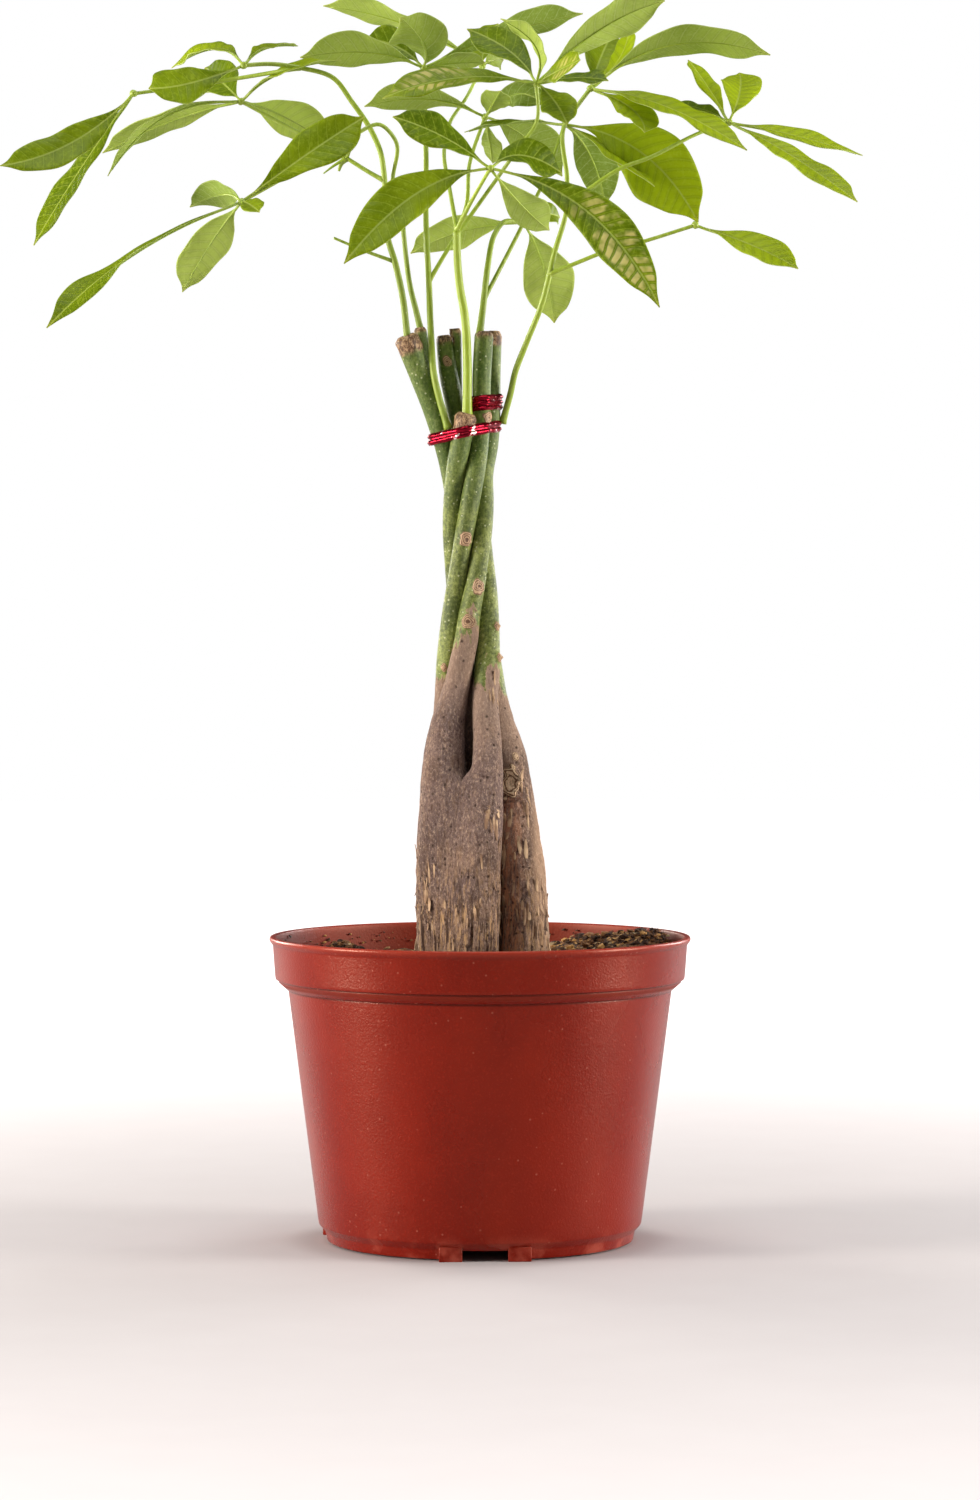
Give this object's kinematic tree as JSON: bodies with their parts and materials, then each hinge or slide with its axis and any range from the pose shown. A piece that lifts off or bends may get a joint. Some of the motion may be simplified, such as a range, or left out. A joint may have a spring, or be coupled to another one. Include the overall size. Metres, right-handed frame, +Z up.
{
  "type": "potted money tree",
  "caption": "Young money tree with plaited woody stems, cut tops, red foil ties and leafy shoots of palmate leaves, standing in soil in a round tapered nursery pot.",
  "frame": {"origin": "on the surface that the pot stands on, on the pot's own axis", "axes": "+Z up along the pot's axis; -Y towards the viewer of the picture; +X to the viewer's right"},
  "size_m": [0.3319, 0.1667, 0.4913],
  "materials": {
    "pot": "satin",
    "soil": "matte",
    "stems": "matte",
    "foil_tie": "gloss",
    "leafy_shoots": "satin"
  },
  "bodies": {
    "root": {"pot": "pot", "soil": "soil", "trunk_front_left": "stems", "trunk_front": "stems", "trunk_right": "stems", "trunk_back_right": "stems", "trunk_back_left": "stems", "tie_lower": "foil_tie", "tie_upper": "foil_tie", "shoot_left": "leafy_shoots", "shoot_back_left": "leafy_shoots", "shoot_back": "leafy_shoots", "shoot_middle": "leafy_shoots", "shoot_back_right": "leafy_shoots", "shoot_right": "leafy_shoots"}
  },
  "joints": []
}
